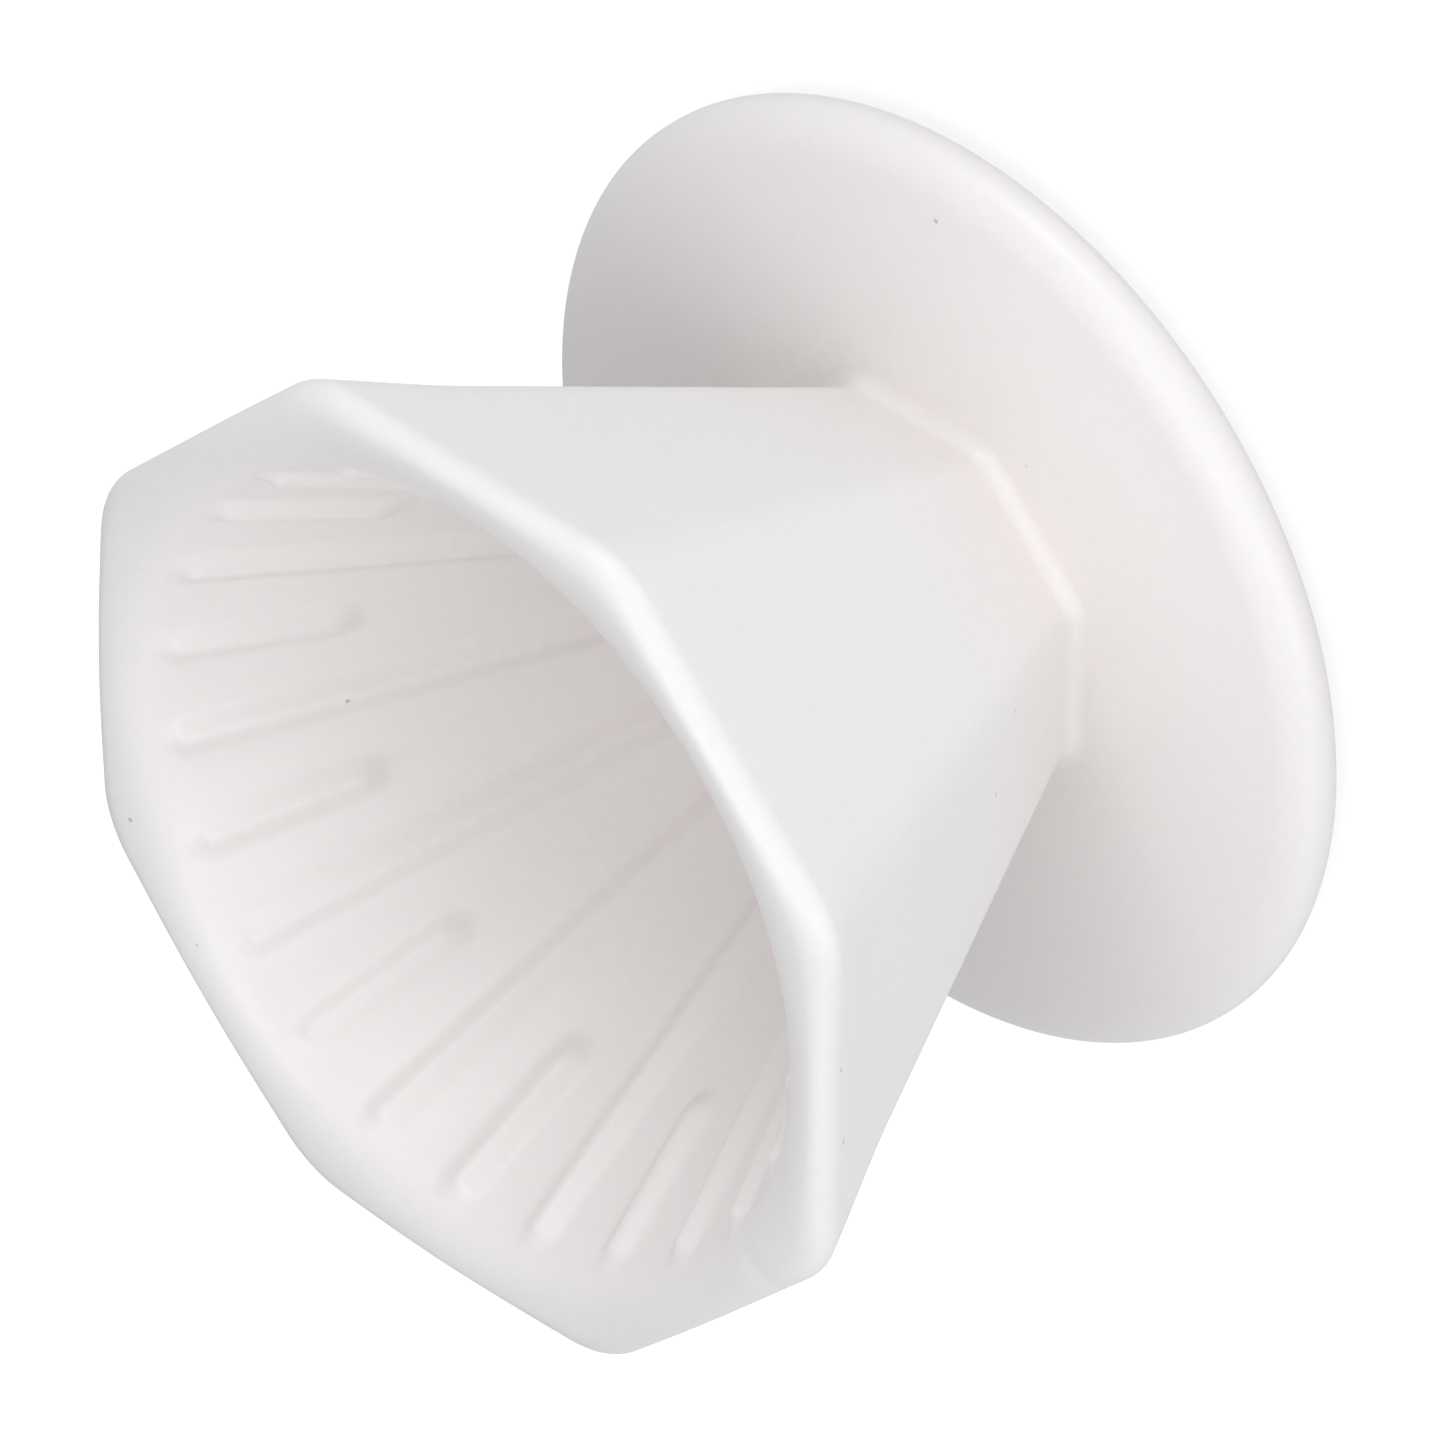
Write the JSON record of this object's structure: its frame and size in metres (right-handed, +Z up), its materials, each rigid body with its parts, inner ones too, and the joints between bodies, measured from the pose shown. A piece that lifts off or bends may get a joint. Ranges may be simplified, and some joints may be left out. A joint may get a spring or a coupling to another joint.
{
  "type": "coffee dripper",
  "caption": "Octagonal ceramic pour-over cone with raised ribs inside, an outlet below, and a round saucer with a locating ring that sits on a mug.",
  "frame": {"origin": "under the middle of the foot, in the plane that the dripper stands on", "axes": "+Z up out of the mouth; +X and +Y each face the middle of a flat of the octagon"},
  "size_m": [0.109, 0.109, 0.0796],
  "materials": {
    "porcelain": "matte white glaze"
  },
  "bodies": {
    "root": {"cone_body": "porcelain", "saucer": "porcelain", "locating_ring": "porcelain"}
  },
  "joints": []
}
